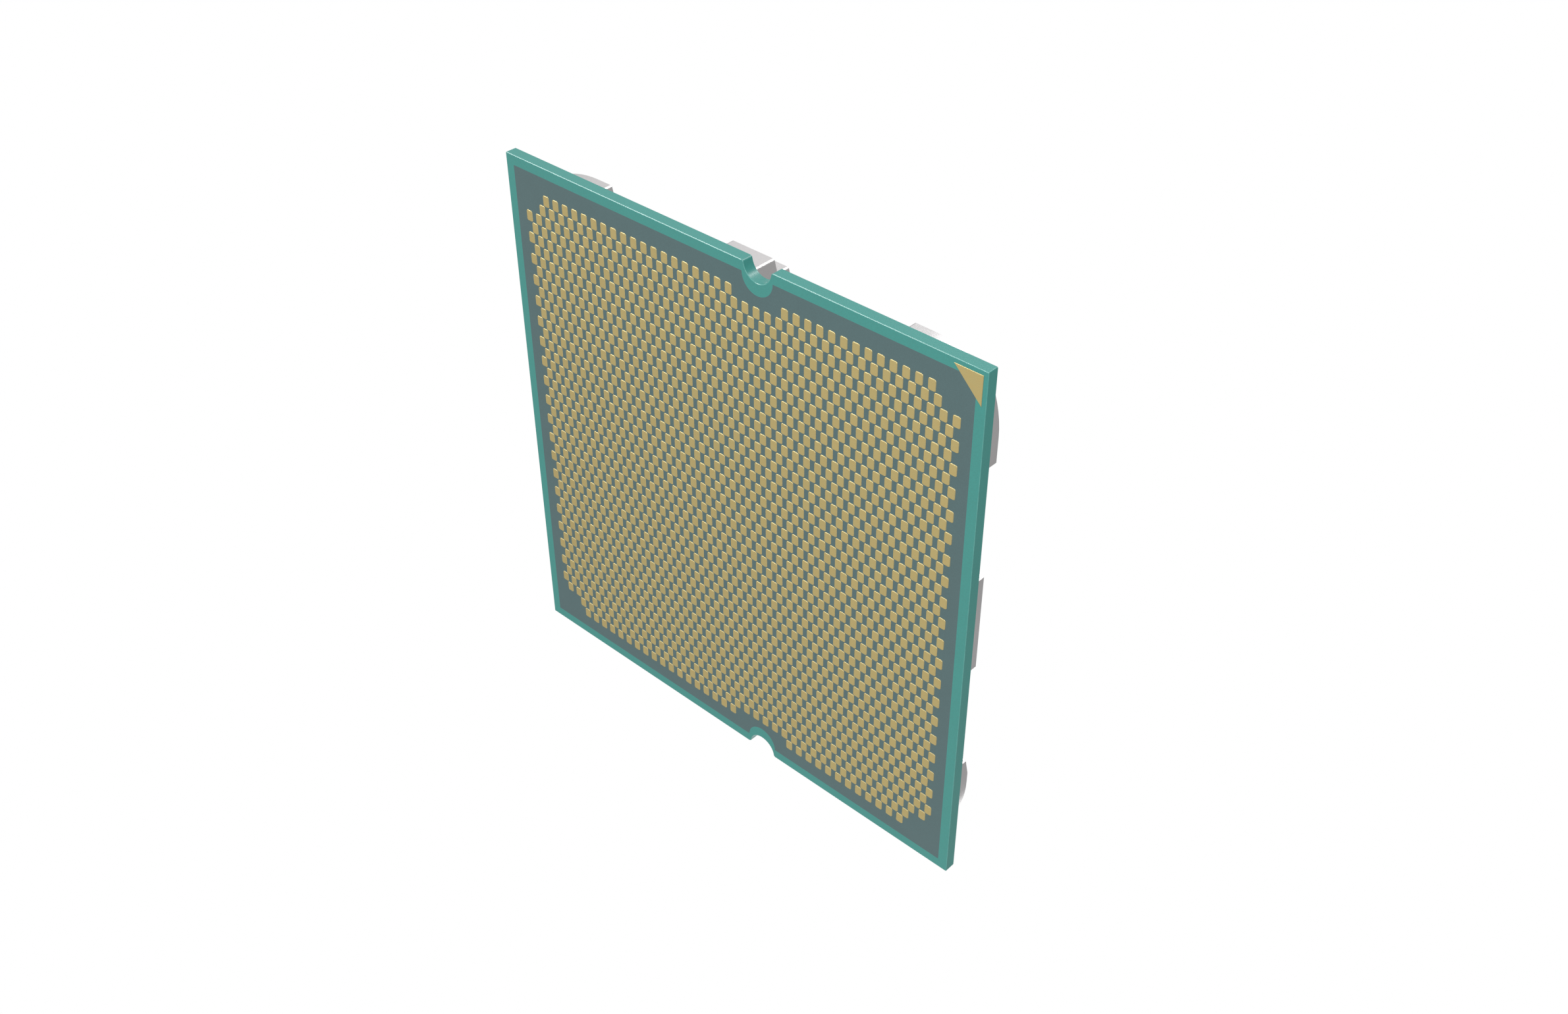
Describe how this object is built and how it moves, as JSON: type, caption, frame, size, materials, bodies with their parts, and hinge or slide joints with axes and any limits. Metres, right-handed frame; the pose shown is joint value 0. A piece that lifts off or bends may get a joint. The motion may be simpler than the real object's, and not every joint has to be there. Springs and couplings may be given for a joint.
{
  "type": "central processor package",
  "caption": "Square desktop processor: laminate card with gold contact pads on one side and a stepped metal heat spreader on the other.",
  "frame": {"origin": "centre of the card, on the plane of the contact pads' faces", "axes": "+Z from the pads to the heat spreader; the pin-one corner is at -X and -Y; the notches are on the +X and -X edges"},
  "size_m": [0.04, 0.04, 0.0038],
  "materials": {
    "laminate_teal": "satin resin over glass cloth, teal-green",
    "mask_grey_green": "satin dark grey-green solder mask",
    "mask_green": "satin dark green solder mask",
    "gold_plate": "matt gold plating on copper",
    "nickel_plate": "fine satin nickel plating on copper",
    "copper": "bare rolled copper",
    "silicon": "polished dark grey silicon",
    "solder": "bright reflowed solder",
    "underfill": "dark glossy resin",
    "sealant": "matt dark silicone adhesive",
    "ceramic_tan": "matt tan-brown ceramic",
    "tin": "satin tinned metal"
  },
  "bodies": {
    "root": {"build_up_land_side": "laminate_teal", "build_up_lid_side": "laminate_teal", "capacitor_ceramics": "ceramic_tan", "capacitor_solder": "solder", "capacitor_terminals": "tin", "compute_die_1": "silicon", "compute_die_1_bumps": "solder", "compute_die_1_thermal_solder": "solder", "compute_die_1_underfill": "underfill", "compute_die_2": "silicon", "compute_die_2_bumps": "solder", "compute_die_2_thermal_solder": "solder", "compute_die_2_underfill": "underfill", "copper_plane_land_side": "copper", "copper_plane_lid_side": "copper", "core_laminate": "laminate_teal", "core_vias": "copper", "heat_spreader": "nickel_plate", "io_die": "silicon", "io_die_bumps": "solder", "io_die_thermal_solder": "solder", "io_die_underfill": "underfill", "land_pads_far": "gold_plate", "land_pads_left": "gold_plate", "land_pads_pin_one": "gold_plate", "land_pads_right": "gold_plate", "pin_one_mark_land_side": "gold_plate", "pin_one_mark_lid_side": "gold_plate", "solder_mask_land_side": "mask_grey_green", "solder_mask_lid_side": "mask_green", "spreader_adhesive": "sealant"}
  },
  "joints": []
}
